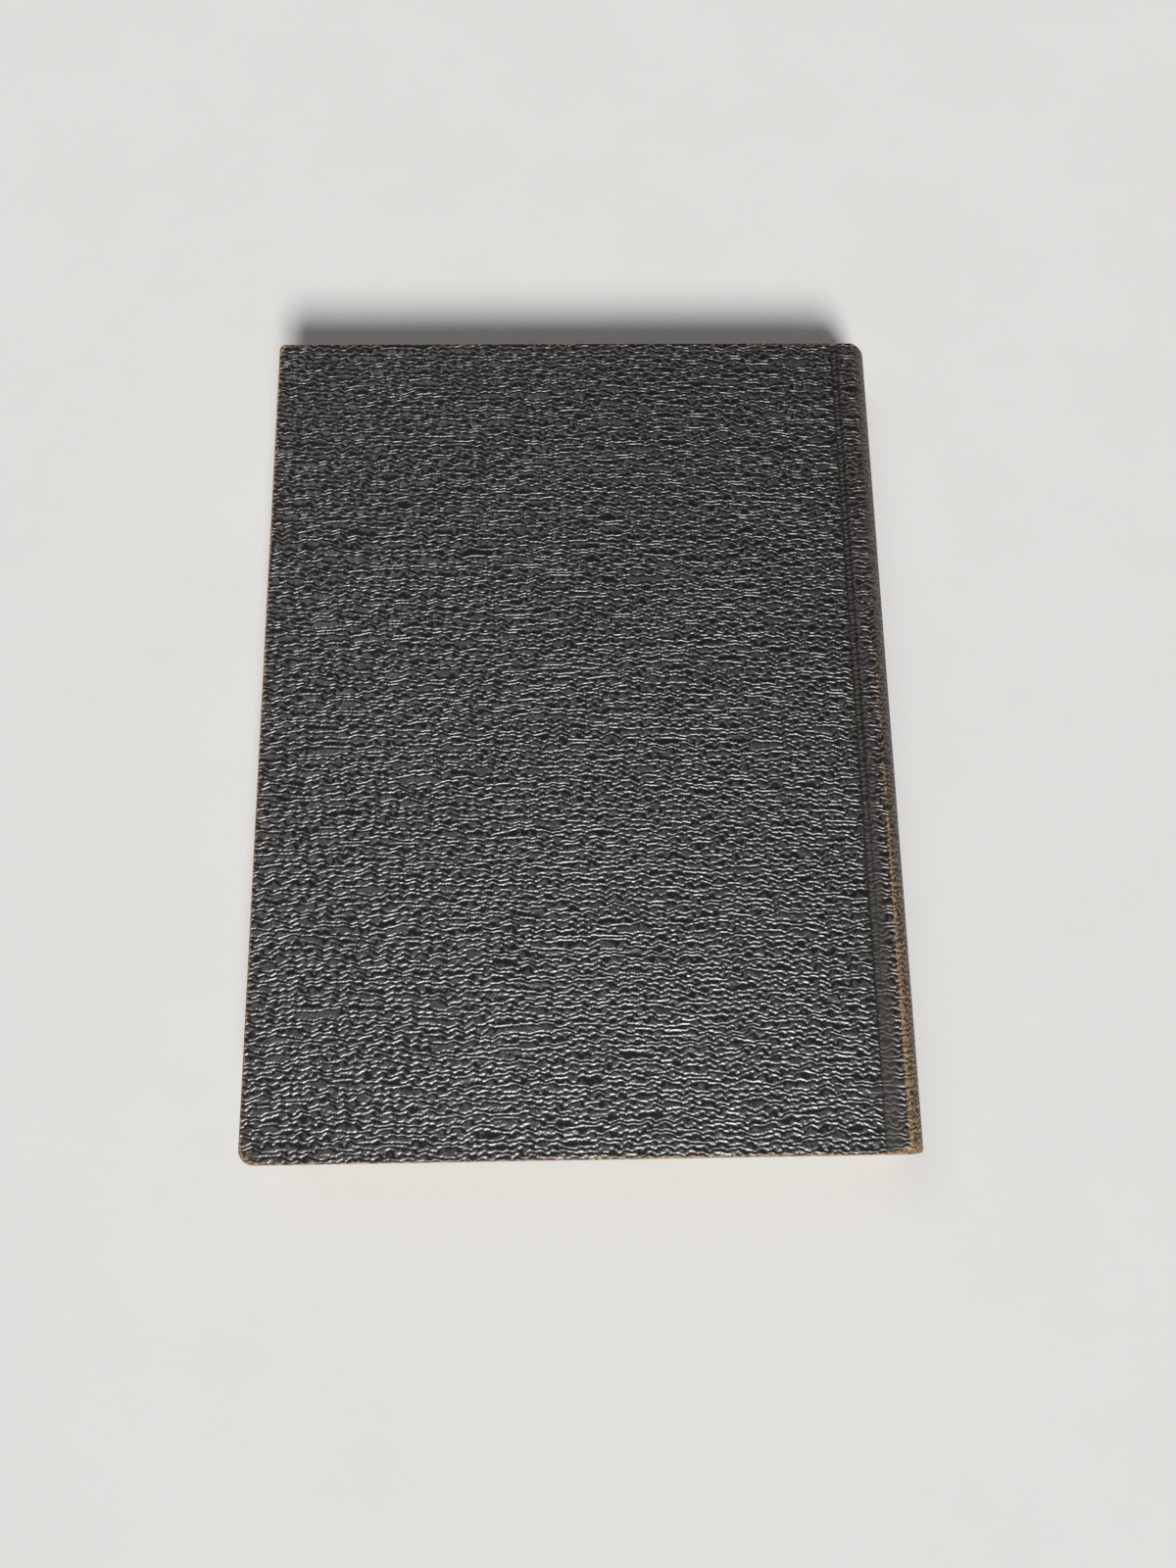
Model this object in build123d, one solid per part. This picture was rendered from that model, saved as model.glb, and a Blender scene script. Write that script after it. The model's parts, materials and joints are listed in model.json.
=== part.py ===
from build123d import *
import math
import os

# A case-bound hardback, shut, lying on its front cover with the back cover up.
# +X points to the spine, +Y to the head of the book and +Z up. The origin is the
# middle of the closed book's box, on the plane that the front cover lies on.
# Lengths are in millimetres and angles in degrees.

# Leaves, folded into sewn sections, rounded and backed
leaf_height = 254.0
leaf_width = 189.0
block_thickness = 15.0
section_count = 12
section_gap = 0.14
section_gap_depth = 0.3
fore_edge_hollow = 3.2

# Backing: the outer sections are bent outwards over a shoulder
shoulder_air = 0.15
shoulder_cove = 0.8
shoulder_tip_round = 1.0

# Sheets and boards
board_thickness = 2.5
cloth_thickness = 0.4
paper_thickness = 0.2
gauze_thickness = 0.3
lining_thickness = 0.2
inlay_thickness = 0.4
glue_line = 0.03
hollow_back_gap = 0.6
endpaper_air = 0.15

# Case
square = 3.0
turn_in = 15.0
edge_round = 0.7
head_corner_radius = 2.0
tail_corner_radius = 4.5
spine_half_angle = 55.5
ridge_radius = 3.0
ridge_drop = 0.3
groove_depth = 1.4
groove_radius = 0.7
groove_slope = 45.0
groove_to_ridge = 5.3
crest_radius = 1.6
board_to_groove = 1.5
groove_wall_round = 0.5
joint_split = 0.1

# Inlay, lining, gauze, headbands and sewing cords
inlay_half_angle = 46.0
lining_half_angle = 48.0
gauze_end_margin = 20.0
gauze_flange = 25.0
lining_end_margin = 1.0
headband_half_angle = 46.0
headband_bead_radius = 0.9
headband_bead_sides = 12
headband_tape = 10.0
headband_tape_thickness = 0.25
seat_clearance = 0.05
cord_thickness = 0.7
cord_kerf_clearance = 0.05
cord_count = 5
cord_end_margin = 18.0

# Heights above the middle plane of the book, which lies half way up the leaves
leaf_z = block_thickness / 2
flyleaf_z = leaf_z + paper_thickness
paste_z = flyleaf_z + endpaper_air
turned_z = paste_z + paper_thickness
board_z = turned_z + cloth_thickness
board_top_z = board_z + board_thickness
cover_z = board_top_z + cloth_thickness
ridge_z = cover_z - ridge_drop
groove_z = cover_z - groove_depth
shoulder_depth = cloth_thickness + gauze_thickness + shoulder_air

# Spine arcs, one inside the other about a common axis along Y
spine_radius = ridge_z / math.sin(math.radians(spine_half_angle))
inlay_radius = spine_radius - cloth_thickness
hollow_radius = inlay_radius - inlay_thickness
lining_radius = hollow_radius - hollow_back_gap
gauze_radius = lining_radius - lining_thickness
back_radius = gauze_radius - gauze_thickness

# Places along X, measured from the axis of the spine arcs
ridge_centre = (
    math.sqrt((spine_radius - ridge_radius) ** 2 - (ridge_z - ridge_radius) ** 2),
    ridge_z - ridge_radius,
)
hinge_x = ridge_centre[0] - groove_to_ridge
board_edge_x = hinge_x - board_to_groove
wall_x = board_edge_x + cloth_thickness
groove_centre = (hinge_x, groove_z + groove_radius)
split_x = hinge_x - joint_split / 2
spine_start_x = hinge_x + joint_split / 2
hollow_x = back_radius - leaf_width
fore_edge_x = hollow_x - fore_edge_hollow
cover_x = fore_edge_x - square
fore_edge_radius = (leaf_z**2 + fore_edge_hollow**2) / (2 * fore_edge_hollow)
window_x = cover_x + turn_in
flange_x = board_edge_x - gauze_flange

# Where the cloth rounds over the board's edge, and where it meets the groove's floor
wall_corner = (wall_x - edge_round, cover_z - edge_round)
wall_foot = (wall_x + groove_wall_round, groove_z + groove_wall_round)

# Places along Y, from the middle to the head or the tail
leaf_y = leaf_height / 2
cover_y = leaf_y + square
board_y = cover_y - cloth_thickness
gauze_y = leaf_y - gauze_end_margin
window_y = cover_y - turn_in

# From the spine axis and middle plane to the origin under the closed book
overall_width = spine_radius - cover_x
to_origin = Pos(overall_width / 2 - spine_radius, 0, cover_z)


def polar(centre, radius, angle):
    """The point at an angle on a circle in the cross-section."""
    turn = math.radians(angle)
    return (centre[0] + radius * math.cos(turn), centre[1] + radius * math.sin(turn))


def arc(centre, radius, start, end):
    """The arc of a circle in the cross-section from one angle to another."""
    return CenterArc(centre, radius, start, end - start)


def bearing(origin, target):
    """The direction from one point of the cross-section to another."""
    return math.degrees(math.atan2(target[1] - origin[1], target[0] - origin[0]))


def mirrored(edges):
    """The same edges on the other side of the middle plane."""
    return [mirror(edge, about=Plane.XZ) for edge in edges]


def past_joint():
    """All of the cross-section on the spine's side of the joint."""
    corner = (Align.MIN, Align.CENTER)
    return Pos(spine_start_x, 0) * Rectangle(2 * spine_radius, 2 * spine_radius, align=corner)


def along(section, low, high):
    """A cross-section drawn in X and Z, drawn out along Y between two places."""
    return extrude(Plane.XZ.offset(-high) * section, amount=high - low)


def both_ends(section, low, high):
    """The same length drawn out near the head and near the tail."""
    return along(section, low, high) + along(section, -high, -low)


def slab(low_x, high_x, half_y, low_z, high_z):
    """A flat rectangular layer, even about the middle of the book's height."""
    size = (high_x - low_x, 2 * half_y, high_z - low_z)
    return Pos((low_x + high_x) / 2, 0, (low_z + high_z) / 2) * Box(*size)


def crest_place():
    """The middle of the crest's curve, where the far side of the groove ends."""
    turn = math.radians(groove_slope)
    both_radii = groove_radius + crest_radius
    crest_z = ridge_z - crest_radius
    straight_rise = crest_z - groove_centre[1] + both_radii * math.cos(turn)
    run = straight_rise / math.tan(turn) + both_radii * math.sin(turn)
    return (hinge_x + run, crest_z)


def rise(low, low_radius, high, high_radius, angle):
    """Edges up from a level line: a hollow curve, a slope and a round crest."""
    foot = polar(low, low_radius, angle - 90)
    top = polar(high, high_radius, angle + 90)
    return [
        arc(low, low_radius, -90, angle - 90),
        Line(foot, top),
        arc(high, high_radius, angle + 90, 90),
    ]


# The shoulder climbs from the leaves to the same crest as the cloth
crest_centre = crest_place()
cove_centre = (spine_start_x, leaf_z + shoulder_cove)
shoulder_crest = crest_radius - shoulder_depth
shoulder_slope = bearing(cove_centre, crest_centre) + math.degrees(
    math.asin((shoulder_cove + shoulder_crest) / math.dist(cove_centre, crest_centre))
)
shoulder_z = ridge_z - shoulder_depth
tip_z = shoulder_z - shoulder_tip_round
shoulder_tip = (math.sqrt((back_radius - shoulder_tip_round) ** 2 - tip_z**2), tip_z)
tip_angle = bearing((0, 0), shoulder_tip)
ridge_meets_spine = bearing((0, 0), ridge_centre)


def block_face(grow):
    """Cross-section of the leaves, grown by a layer of some thickness all round."""
    flat_z, high_z = leaf_z + grow, shoulder_z + grow
    cove, crest = shoulder_cove - grow, shoulder_crest + grow
    hollow_centre = (hollow_x - fore_edge_radius, 0)
    hollow_arc = fore_edge_radius - grow
    corner_x = hollow_centre[0] + math.sqrt(hollow_arc**2 - flat_z**2)
    hollow_angle = bearing(hollow_centre, (corner_x, flat_z))
    upper = [
        Line((corner_x, flat_z), (cove_centre[0], flat_z)),
        *rise(cove_centre, cove, crest_centre, crest, shoulder_slope),
        Line((crest_centre[0], high_z), (shoulder_tip[0], high_z)),
        arc(shoulder_tip, shoulder_tip_round + grow, 90, tip_angle),
    ]
    back = arc((0, 0), back_radius + grow, tip_angle, -tip_angle)
    hollow = arc(hollow_centre, hollow_arc, hollow_angle, -hollow_angle)
    return make_face([*upper, back, *mirrored(upper), hollow])


def layer(inner, outer, half_angle):
    """Cross-section of a sheet that follows the round of the spine."""
    start, end = -half_angle, half_angle
    edges = [
        arc((0, 0), outer, start, end),
        Line(polar((0, 0), outer, end), polar((0, 0), inner, end)),
        arc((0, 0), inner, end, start),
        Line(polar((0, 0), inner, start), polar((0, 0), outer, start)),
    ]
    return make_face(edges)


def section_gaps():
    """Thin lines between the sections: flat, then bent round to meet the back squarely."""
    gaps = []
    for number in range(1, section_count):
        share = 2 * number / section_count - 1
        fan_angle = tip_angle * share
        start_z = leaf_z * share
        end = polar((0, 0), back_radius + section_gap, fan_angle)
        bend_run = (end[1] - start_z) / math.tan(math.radians(fan_angle / 2)) if share else 0
        bend_start = (end[0] - bend_run, start_z)
        path = [Line((fore_edge_x - section_gap, start_z), bend_start)]
        if share:
            path.append(TangentArc(bend_start, end, tangent=(1, 0)))
        gaps.append(trace(path, line_width=section_gap))
    return gaps


def back_ring(section, half_angle):
    """A section drawn in X and Y, swept round the axis of the spine."""
    return revolve(Rot(0, -half_angle, 0) * section, Axis.Y, 2 * half_angle)


def cord_stations():
    """Places along Y where a cord crosses the back, evenly from tail to head."""
    reach = leaf_y - cord_end_margin
    return [reach * (2 * number / (cord_count - 1) - 1) for number in range(cord_count)]


def text_block():
    """The leaves as one solid, with lines between the sections on all four edges."""
    leaves = along(block_face(0), -leaf_y, leaf_y)
    inside = block_face(-section_gap_depth)
    for gap in section_gaps():
        leaves -= along(gap - inside, -leaf_y, leaf_y)
        leaves -= both_ends(gap, leaf_y - section_gap_depth, leaf_y)
    kerf_width = cord_thickness + 2 * cord_kerf_clearance
    for station in cord_stations():
        kerf = Pos(back_radius, station) * Rectangle(2 * kerf_width, kerf_width)
        leaves -= back_ring(kerf, tip_angle)
    return leaves


def sewing_cords():
    """The cords that the sections are sewn to, sunk in sawn kerfs across the back."""
    centre_x = back_radius - cord_kerf_clearance - cord_thickness / 2
    reach = tip_angle - math.degrees(shoulder_tip_round / back_radius)
    cord = Rectangle(cord_thickness, cord_thickness)
    return Compound([back_ring(Pos(centre_x, y) * cord, reach) for y in cord_stations()])


def head_band():
    """A rolled band at the head of the leaves, its tape glued down on the back."""
    bead_y = leaf_y + headband_bead_radius + seat_clearance
    bead_x = back_radius + headband_tape_thickness - headband_bead_radius
    bead = Pos(bead_x, bead_y) * RegularPolygon(headband_bead_radius, headband_bead_sides)
    tape_width = headband_tape_thickness - seat_clearance
    tape_y = leaf_y - headband_tape
    corner = (Align.MIN, Align.MIN)
    tape = Rectangle(tape_width, bead_y - tape_y, align=corner)
    tape = Pos(back_radius + seat_clearance, tape_y) * tape
    return back_ring(bead + tape, headband_half_angle)


def spine_gauze():
    """Open cloth glued over the back and shoulders, to the foot of each joint."""
    band = block_face(gauze_thickness) - block_face(glue_line)
    return along(band & past_joint(), -gauze_y, gauze_y)


def spine_lining():
    """A strip of brown paper over the gauze."""
    section = layer(gauze_radius + glue_line, lining_radius, lining_half_angle)
    reach = leaf_y - lining_end_margin
    return along(section, -reach, reach)


def inlay_section():
    """Cross-section of the card that keeps the round of the case's spine."""
    return layer(hollow_radius, inlay_radius, inlay_half_angle)


def spine_inlay():
    """The strip of card inside the cloth of the spine."""
    return along(inlay_section(), -board_y, board_y)


def spine_edges(depth):
    """Cross-section edges from the rear joint over the ridge to the spine's round."""
    high_z = ridge_z - depth
    groove, crest = groove_radius + depth, crest_radius - depth
    return [
        *rise(groove_centre, groove, crest_centre, crest, groove_slope),
        Line((crest_centre[0], high_z), (ridge_centre[0], high_z)),
        arc(ridge_centre, ridge_radius - depth, 90, ridge_meets_spine),
    ]


def spine_band(outer, inner):
    """Cross-section of a sheet between two depths under the spine's outer face."""
    end = Line((hinge_x, groove_z - outer), (hinge_x, groove_z - inner))
    upper = [*spine_edges(outer), *spine_edges(inner), end]
    round_edges = [
        arc((0, 0), spine_radius - depth, ridge_meets_spine, -ridge_meets_spine)
        for depth in (outer, inner)
    ]
    return make_face([*upper, *mirrored(upper), *round_edges]) & past_joint()


def spine_cloth():
    """The cloth over the spine, turned in at head and tail under the inlay's ends."""
    fold_angle = inlay_half_angle + math.degrees(cloth_thickness / inlay_radius)
    under_inlay = layer(hollow_radius - cloth_thickness, inlay_radius, fold_angle)
    doubled = spine_band(cloth_thickness, 2 * cloth_thickness) + under_inlay
    outer = spine_band(0, cloth_thickness)
    cloth = along(outer, -cover_y, cover_y)
    cloth += both_ends(doubled - inlay_section(), cover_y - turn_in, board_y)
    cloth += both_ends(outer + doubled, board_y, cover_y)
    return cloth


def cover_outline(inset):
    """Plan of a covered board: square at the spine, rounded at the fore-edge."""
    low_x, half_y = cover_x + inset, cover_y - inset
    head, tail = head_corner_radius - inset, tail_corner_radius - inset
    edges = [
        Line((low_x + head, half_y), (split_x, half_y)),
        Line((split_x, half_y), (split_x, -half_y)),
        Line((split_x, -half_y), (low_x + tail, -half_y)),
        arc((low_x + tail, tail - half_y), tail, 270, 180),
        Line((low_x, tail - half_y), (low_x, half_y - head)),
        arc((low_x + head, half_y - head), head, 180, 90),
    ]
    return make_face(edges)


def board():
    """Grey board, its outer edges softened under the cloth."""
    plan = Pos(0, 0, board_z) * cover_outline(cloth_thickness)
    solid = extrude(plan, amount=board_thickness)
    solid -= slab(board_edge_x, split_x, cover_y, board_z, board_top_z)
    rim = solid.edges().filter_by_position(Axis.Z, board_top_z, board_top_z)
    return fillet(rim, edge_round - cloth_thickness)


def joint_fall(depth):
    """Cross-section edges of the cloth as it drops off the board into the groove."""
    return [
        arc(wall_corner, edge_round - depth, 90, 0),
        Line((wall_x - depth, wall_corner[1]), (wall_x - depth, wall_foot[1])),
        arc(wall_foot, groove_wall_round + depth, 180, 270),
        Line((wall_foot[0], groove_z - depth), (split_x, groove_z - depth)),
    ]


def cover_envelope():
    """Everything inside the outer face of the cloth, with its rounded edges."""
    plan = Pos(0, 0, turned_z) * cover_outline(0)
    plate = extrude(plan, amount=cover_z - turned_z)
    rim = plate.edges().filter_by_position(Axis.Z, cover_z, cover_z)
    plate = fillet(rim.filter_by_position(Axis.X, cover_x, wall_x), edge_round)
    trough = [
        *joint_fall(0),
        Line((split_x, groove_z), (split_x, cover_z)),
        Line((split_x, cover_z), (wall_corner[0], cover_z)),
    ]
    return plate - along(make_face(trough), -cover_y, cover_y)


def cover_cloth():
    """The cloth of one cover, turned in round three edges of its board."""
    inner_z = groove_z - cloth_thickness
    folded_z = inner_z - cloth_thickness
    under = [
        joint_fall(cloth_thickness)[2],
        Line((wall_foot[0], inner_z), (split_x, inner_z)),
        Line((split_x, inner_z), (split_x, turned_z)),
        Line((split_x, turned_z), (board_edge_x, turned_z)),
        Line((board_edge_x, turned_z), (board_edge_x, wall_foot[1])),
    ]
    cloth = cover_envelope() - board()
    cloth -= slab(window_x, split_x, window_y, turned_z, board_z)
    cloth -= slab(wall_x, split_x, cover_y, turned_z, folded_z)
    cloth -= along(make_face(under), -window_y, window_y)
    return cloth


def gauze_flange_strip():
    """The gauze's edge that is glued down on the inside of the board."""
    return slab(flange_x, split_x, gauze_y, board_z - gauze_thickness, board_z)


def pastedown():
    """The endpaper's pasted half, pressed down over the turn-ins and the gauze."""
    wall = paper_thickness
    gauze_z = board_z - gauze_thickness
    over_gauze = (flange_x - wall, split_x, gauze_y + wall)
    sheet = slab(fore_edge_x, split_x, leaf_y, paste_z, board_z)
    turned = slab(cover_x, split_x, cover_y, turned_z, board_z)
    turned -= slab(window_x, split_x, window_y, turned_z, board_z)
    pocket = slab(window_x + wall, split_x, window_y - wall, paste_z, board_z - wall)
    pocket -= slab(*over_gauze, paste_z, board_z)
    sheet -= slab(flange_x, split_x, gauze_y, gauze_z, board_z)
    return sheet - turned - pocket - slab(*over_gauze, paste_z, gauze_z - wall)


def free_endpaper():
    """The endpaper's free half, a leaf that is stuck down along the shoulder."""
    return slab(fore_edge_x, split_x, leaf_y, leaf_z, flyleaf_z)


parts = {
    "text_block": text_block(),
    "sewing_cords": sewing_cords(),
    "spine_gauze": spine_gauze(),
    "spine_lining": spine_lining(),
    "head_band": head_band(),
    "tail_band": mirror(head_band(), about=Plane.XZ),
    "spine_inlay": spine_inlay(),
    "spine_cloth": spine_cloth(),
}
rear = {
    "free_endpaper": free_endpaper(),
    "pastedown": pastedown(),
    "gauze_flange": gauze_flange_strip(),
    "board": board(),
    "cover_cloth": cover_cloth(),
}
for name, shape in rear.items():
    parts[f"rear_{name}"] = shape
    parts[f"front_{name}"] = mirror(shape, about=Plane.XY)

os.makedirs("parts", exist_ok=True)
for name, shape in parts.items():
    export_step(to_origin * shape, f"parts/{name}.step")
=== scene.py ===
import json
import math

import bmesh
import bpy
import numpy as np
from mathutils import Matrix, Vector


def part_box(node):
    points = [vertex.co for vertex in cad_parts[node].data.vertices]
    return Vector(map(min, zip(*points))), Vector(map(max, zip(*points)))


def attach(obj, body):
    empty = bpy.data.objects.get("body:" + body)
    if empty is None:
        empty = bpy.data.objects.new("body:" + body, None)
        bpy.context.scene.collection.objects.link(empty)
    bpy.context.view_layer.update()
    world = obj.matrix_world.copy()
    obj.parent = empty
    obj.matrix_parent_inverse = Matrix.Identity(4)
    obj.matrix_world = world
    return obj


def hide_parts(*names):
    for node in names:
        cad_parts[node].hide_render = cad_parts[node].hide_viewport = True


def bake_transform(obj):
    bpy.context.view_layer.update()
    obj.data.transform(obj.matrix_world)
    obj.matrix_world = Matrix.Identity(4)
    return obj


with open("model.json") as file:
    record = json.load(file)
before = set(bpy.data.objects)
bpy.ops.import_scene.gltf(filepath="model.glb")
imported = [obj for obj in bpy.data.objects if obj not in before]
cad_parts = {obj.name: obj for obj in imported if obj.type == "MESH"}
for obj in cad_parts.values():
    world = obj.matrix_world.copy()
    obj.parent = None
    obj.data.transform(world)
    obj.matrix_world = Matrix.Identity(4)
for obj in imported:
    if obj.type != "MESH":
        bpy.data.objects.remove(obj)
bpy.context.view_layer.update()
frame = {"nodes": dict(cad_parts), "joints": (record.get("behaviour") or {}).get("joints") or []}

# Leaves: twelve sections of folded book paper, sewn through their folds, glued, rounded over
# the back and hammered out into a shoulder along each joint, then trimmed on three sides.
# They are one closed mesh, with the edge of every leaf and the gaps between the sections.
MILLIMETRE = 0.001
section_count = 12
leaves_in_section = 8
leaf_gap_depth = 0.07
leaf_gap_share = 0.2
section_gap_depth = 0.3
section_gap_share = 0.45
section_shift = 0.05
leaf_shift = 0.02
edge_wave = 0.035
paper_half = 7.5
fore_edge_hollow = 3.2
spine_half_angle = 55.5
groove_depth = 1.4
groove_radius = 0.7
groove_slope = 45.0
crest_radius = 1.6
shoulder_cove = 0.8
shoulder_tip_round = 1.0
joint_split = 0.1
shoulder_pull = 5
cord_stations = (-109.0, -54.5, 0.0, 54.5, 109.0)
kerf_half_width = 0.4
kerf_wall = 0.05
kerf_depth = 0.8
chance_seed = 12
edge_wave_pitch = (0.02, 0.07)
flat_share, flat_columns = 0.965, 26
shoulder_share, shoulder_columns = 0.972, 20
fore_edge_rows = 42
bend_steps = 6
middle_leaf_share = 1e-4
leaf_shade, section_shade = 0.16, 0.8
same_place = 1e-7
sharp_angle = 50
leaf_dark, leaf_pale = (0.56, 0.45, 0.29, 1), (0.76, 0.68, 0.53, 1)
# Painted shade for the gaps between the leaves and between the sections.
leaf_gap_painted_shade = (0.26, 0.19, 0.11, 1)
leaf_relief = 0.00006


def box_in_millimetres(node):
    low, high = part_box(node)
    return np.array(low) / MILLIMETRE, np.array(high) / MILLIMETRE


block_low, block_high = box_in_millimetres("text_block")
cover_low, cover_high = box_in_millimetres("rear_cover_cloth")
case_high = box_in_millimetres("spine_cloth")[1]
hinge_x = frame["joints"][0]["pos_m"][0] / MILLIMETRE
middle_z = (block_low[2] + block_high[2]) / 2
leaf_y = block_high[1]
cover_z, ridge_z = cover_high[2], case_high[2]
groove_z = cover_z - groove_depth
spine_radius = (ridge_z - middle_z) / math.sin(math.radians(spine_half_angle))
spine_x = case_high[0] - spine_radius
back_radius = block_high[0] - spine_x


def crest_place():
    """Middle of the rounded crest on the spine's side of the joint's groove."""
    slope = math.radians(groove_slope)
    radii = groove_radius + crest_radius
    crest_z = ridge_z - crest_radius
    rise = crest_z - groove_z - groove_radius + radii * math.cos(slope)
    return hinge_x + rise / math.tan(slope) + radii * math.sin(slope), crest_z


def arc(centre, radius, start, end, steps):
    """Points along an arc in the cross-section, its start left out."""
    turn = np.radians(np.linspace(start, end, steps + 1)[1:])
    return np.column_stack([centre[0] + radius * np.cos(turn), centre[1] + radius * np.sin(turn)])


def line(start, end, steps):
    """Points along a straight line, its start left out."""
    share = np.linspace(0, 1, steps + 1)[1:, None]
    return np.asarray(start) * (1 - share) + np.asarray(end) * share


crest = crest_place()
tip_rise = block_high[2] - shoulder_tip_round - middle_z
tip_reach = math.sqrt((back_radius - shoulder_tip_round) ** 2 - tip_rise**2)
tip_place = (spine_x + tip_reach, middle_z + tip_rise)
tip_angle = math.degrees(math.atan2(tip_rise, tip_place[0] - spine_x))


def shoulder_profile():
    """The outermost leaf where it is bent out: hollow foot, slope, crest and rounded tip."""
    foot = (hinge_x + joint_split / 2, middle_z + paper_half + shoulder_cove)
    top_radius = crest_radius - (ridge_z - block_high[2])
    run, rise = crest[0] - foot[0], crest[1] - foot[1]
    lean = math.asin((shoulder_cove + top_radius) / math.hypot(run, rise))
    slope = math.degrees(math.atan2(rise, run) + lean)
    return np.vstack([
        (block_low[0], foot[1] - shoulder_cove),
        (foot[0], foot[1] - shoulder_cove),
        arc(foot, shoulder_cove, -90, slope - 90, bend_steps),
        arc(crest, top_radius, slope + 90, 90, bend_steps),
        (tip_place[0], block_high[2]),
        arc(tip_place, shoulder_tip_round, 90, tip_angle, bend_steps),
    ])


def fanned_heights(share, x):
    """Heights above the middle of leaves that run flat, then fan out to meet the round back squarely."""
    share = np.where(abs(share) < middle_leaf_share, middle_leaf_share, share)
    turn = np.radians(tip_angle) * share
    start = paper_half * share
    rise = back_radius * np.sin(turn) - start
    run = rise / np.tan(turn / 2)
    radius = np.hypot(run, rise) / (2 * np.sin(abs(turn) / 2))
    past = np.clip(x - (spine_x + back_radius * np.cos(turn) - run), 0, None)
    return start + np.sign(share) * (radius - np.sqrt(np.maximum(radius**2 - past**2, 0)))


def leaf_rows():
    """Share of the thickness, gap depth and leaf number of each row of points, front to rear."""
    count = section_count * leaves_in_section
    rows_in_leaf = [0, leaf_gap_share, 1 - leaf_gap_share]
    leaf = np.repeat(np.arange(count), len(rows_in_leaf))
    place = np.tile(rows_in_leaf, count)
    first, last = leaf % leaves_in_section == 0, leaf % leaves_in_section == leaves_in_section - 1
    place[first & (place == leaf_gap_share)] = section_gap_share
    place[last & (place == 1 - leaf_gap_share)] = 1 - section_gap_share
    gap = np.where(place > 0, 0, np.where(first, section_gap_depth, leaf_gap_depth))
    gap[0] = 0
    share = 2 * (leaf + place) / count - 1
    return np.append(share, 1.0), np.append(gap, 0.0), np.append(leaf, count - 1)


def net_faces(index):
    """Four-sided faces between the neighbours in a net of point numbers."""
    corners = [index[:-1, :-1], index[:-1, 1:], index[1:, 1:], index[1:, :-1]]
    return np.stack(corners, axis=2).reshape(-1, 4).tolist()


def leaves_mesh():
    """Points, faces and values for each point of the closed block of leaves."""
    chance = np.random.default_rng(chance_seed)
    share, gap, leaf = leaf_rows()
    count = section_count * leaves_in_section
    section = leaf // leaves_in_section
    inset = gap + abs(chance.normal(0, section_shift, section_count))[section]
    inset = (inset + abs(chance.normal(0, leaf_shift, count))[leaf])[:, None]
    turn = np.radians(tip_angle) * share[:, None]
    level = paper_half * share[:, None]
    hollow_radius = (paper_half**2 + fore_edge_hollow**2) / (2 * fore_edge_hollow)
    hollow_x = block_low[0] + fore_edge_hollow - hollow_radius

    # Columns of points run round the block: along the tail, up the fore-edge, along the head, down the back
    flat = np.linspace(0, flat_share, flat_columns)
    along = np.concatenate([flat, np.linspace(shoulder_share, 1, shoulder_columns)])
    fore_y = np.linspace(-leaf_y, leaf_y, fore_edge_rows)[1:-1]
    back_y, back_deep = [], []
    kerf_rim = kerf_half_width + kerf_wall
    for station in cord_stations[::-1]:
        for place, deep in ((kerf_rim, 0), (kerf_half_width, 1), (-kerf_half_width, 1), (-kerf_rim, 0)):
            back_y.append(station + place)
            back_deep.append(deep)
    phase = chance.uniform(0, 2 * math.pi, (2, count))[:, leaf][:, :, None]
    pitch = chance.uniform(*edge_wave_pitch, count)[leaf][:, None]
    fore_wave = edge_wave * (1 + np.sin(fore_y[None] * pitch + phase[0]))
    fore_x = hollow_x + np.sqrt(hollow_radius**2 - level**2)
    end_x = spine_x + (back_radius - gap[:, None]) * np.cos(turn)
    start_x = fore_x + inset
    side_x = start_x + (end_x - start_x) * along[None]
    side_z = fanned_heights(share[:, None], side_x)
    edge = shoulder_profile()
    outer_x = side_x[-1]
    bulge = np.interp(outer_x, edge[:, 0], edge[:, 1] - middle_z)
    bulge = bulge - fanned_heights(np.array(1.0), outer_x)
    side_z = side_z + bulge[None] * np.sign(share)[:, None] * abs(share[:, None]) ** shoulder_pull
    end_wave = edge_wave * (1 + np.sin(side_x * pitch + phase[1]))
    side_y = leaf_y - inset - end_wave
    deep = np.where(abs(share)[:, None] < 1, kerf_depth, 0) * np.array(back_deep)[None]
    reach = back_radius - np.maximum(gap[:, None], deep)
    parts = [
        (side_x[:, ::-1], -side_y[:, ::-1], side_z[:, ::-1]),
        (start_x + fore_wave, fore_y[None] + 0 * fore_wave, level + 0 * fore_wave),
        (side_x, side_y, side_z),
        (spine_x + reach * np.cos(turn), np.array(back_y)[None] + 0 * reach, reach * np.sin(turn)),
    ]
    x, y, z = (np.concatenate([part[axis] for part in parts], axis=1) for axis in range(3))
    rows, columns = x.shape
    points = np.stack([x, y, z + middle_z], axis=2).reshape(-1, 3)
    index = np.arange(rows * columns).reshape(rows, columns)
    faces = net_faces(np.column_stack([index, index[:, 0]]))
    side, fore = len(along), len(fore_y)
    for ring in (index[0], index[-1]):
        tail, head = ring[:side][::-1], ring[side + fore:2 * side + fore]
        for number in range(1, side - 2):
            faces.append([tail[number], tail[number + 1], head[number + 1], head[number]])
        faces.append([*ring[side - 2:side + fore + 2]])
        faces.append([*ring[2 * side + fore - 2:], *ring[:2]])
    shade = chance.normal(0, 1, count)[leaf] + chance.normal(0, section_shade, section_count)[section]
    shade = shade * leaf_shade + 0.5
    deepness = np.clip(gap / leaf_gap_depth, 0, 1)
    values = {"shade": np.repeat(shade, columns), "gap": np.repeat(deepness, columns)}
    return points, faces, values


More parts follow.
